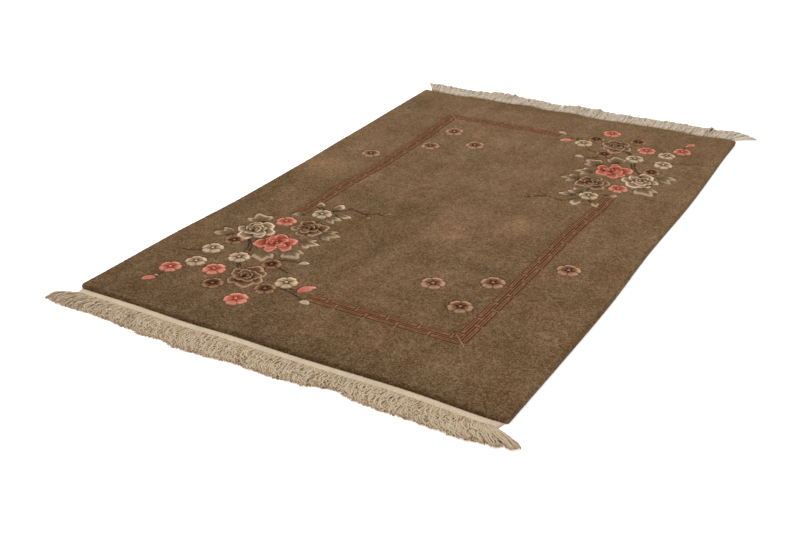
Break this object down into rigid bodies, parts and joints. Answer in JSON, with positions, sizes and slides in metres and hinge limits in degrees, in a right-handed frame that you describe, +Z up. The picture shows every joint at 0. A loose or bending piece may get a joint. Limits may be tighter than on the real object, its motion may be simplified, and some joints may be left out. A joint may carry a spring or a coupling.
{
  "type": "tibetan rug",
  "caption": "Flat rectangular wool pile rug with a carved flower and key-fret design, rounded pile edges, and a yarn fringe on a flat-woven web at each short end.",
  "frame": {"origin": "middle of the rug's underside, on the floor", "axes": "+X across the rug, +Y along it towards the far fringe, +Z up out of the pile"},
  "size_m": [1.3034, 2.0656, 0.0159],
  "materials": {
    "pile_wool": "cut and carved wool pile, mottled brown, with flowers in cream, coral and brown",
    "fringe_cotton": "undyed cotton warp yarn, woven flat at the pile and loose beyond it"
  },
  "bodies": {
    "root": {"knotted_rug": "pile_wool", "fringe_near": "fringe_cotton", "fringe_far": "fringe_cotton"}
  },
  "joints": []
}
